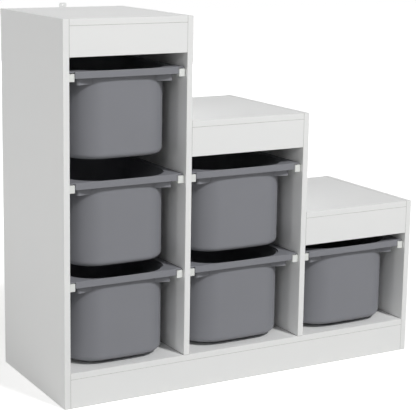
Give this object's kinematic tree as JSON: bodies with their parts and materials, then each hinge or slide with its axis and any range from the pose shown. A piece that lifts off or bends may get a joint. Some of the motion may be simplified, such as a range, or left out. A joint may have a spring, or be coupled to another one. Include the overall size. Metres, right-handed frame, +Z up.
{
  "type": "toy storage organizer",
  "caption": "Stepped white cabinet of descending columns with side rails that carry pull-out grey plastic bins, standing on a plinth, with an anti-tip wall bracket.",
  "frame": {"origin": "on the floor, at the middle of the cabinet's width and depth", "axes": "+Z up; -Y is the front that the bins pull out of; +X runs from the tall column to the short one"},
  "size_m": [0.975, 0.373, 0.901],
  "materials": {
    "white_board": "white melamine on particle board, fine orange peel, satin",
    "hardboard_back": "white lacquered hardboard, satin",
    "white_rail": "extruded white plastic, satin",
    "grey_bin": "moulded grey polypropylene, fine matt texture",
    "zinc_cam": "die-cast zinc, dull",
    "steel_fastener": "bright zinc plated steel",
    "beech_dowel": "bare beech",
    "bracket_white": "white powder coated steel, satin"
  },
  "bodies": {
    "cabinet": {"left_side_panel": "white_board", "tall_divider": "white_board", "middle_divider": "white_board", "right_side_panel": "white_board", "bottom_panel": "white_board", "front_plinth": "white_board", "rear_plinth": "white_board", "tall_top": "white_board", "middle_top": "white_board", "short_top": "white_board", "tall_apron": "white_board", "middle_apron": "white_board", "short_apron": "white_board", "tall_back": "hardboard_back", "middle_back": "hardboard_back", "short_back": "hardboard_back", "tall_lower_left_rail": "white_rail", "tall_lower_right_rail": "white_rail", "tall_centre_left_rail": "white_rail", "tall_centre_right_rail": "white_rail", "tall_upper_left_rail": "white_rail", "tall_upper_right_rail": "white_rail", "middle_lower_left_rail": "white_rail", "middle_lower_right_rail": "white_rail", "middle_centre_left_rail": "white_rail", "middle_centre_right_rail": "white_rail", "short_lower_left_rail": "white_rail", "short_lower_right_rail": "white_rail", "cam_locks": "zinc_cam", "cam_bolts": "steel_fastener", "dowels": "beech_dowel", "rail_screws": "steel_fastener", "bracket_screws": "steel_fastener", "wall_bracket": "bracket_white"},
    "tall_lower_bin": {"tall_lower_bin": "grey_bin"},
    "tall_centre_bin": {"tall_centre_bin": "grey_bin"},
    "tall_upper_bin": {"tall_upper_bin": "grey_bin"},
    "middle_lower_bin": {"middle_lower_bin": "grey_bin"},
    "middle_centre_bin": {"middle_centre_bin": "grey_bin"},
    "short_lower_bin": {"short_lower_bin": "grey_bin"}
  },
  "joints": [
    {"name": "tall_lower_bin_slide", "type": "slide", "parent": "cabinet", "child": "tall_lower_bin", "axis": [0, -1, 0], "range_m": [0, 0.3]},
    {"name": "tall_centre_bin_slide", "type": "slide", "parent": "cabinet", "child": "tall_centre_bin", "axis": [0, -1, 0], "range_m": [0, 0.3]},
    {"name": "tall_upper_bin_slide", "type": "slide", "parent": "cabinet", "child": "tall_upper_bin", "axis": [0, -1, 0], "range_m": [0, 0.3]},
    {"name": "middle_lower_bin_slide", "type": "slide", "parent": "cabinet", "child": "middle_lower_bin", "axis": [0, -1, 0], "range_m": [0, 0.3]},
    {"name": "middle_centre_bin_slide", "type": "slide", "parent": "cabinet", "child": "middle_centre_bin", "axis": [0, -1, 0], "range_m": [0, 0.3]},
    {"name": "short_lower_bin_slide", "type": "slide", "parent": "cabinet", "child": "short_lower_bin", "axis": [0, -1, 0], "range_m": [0, 0.3]}
  ]
}
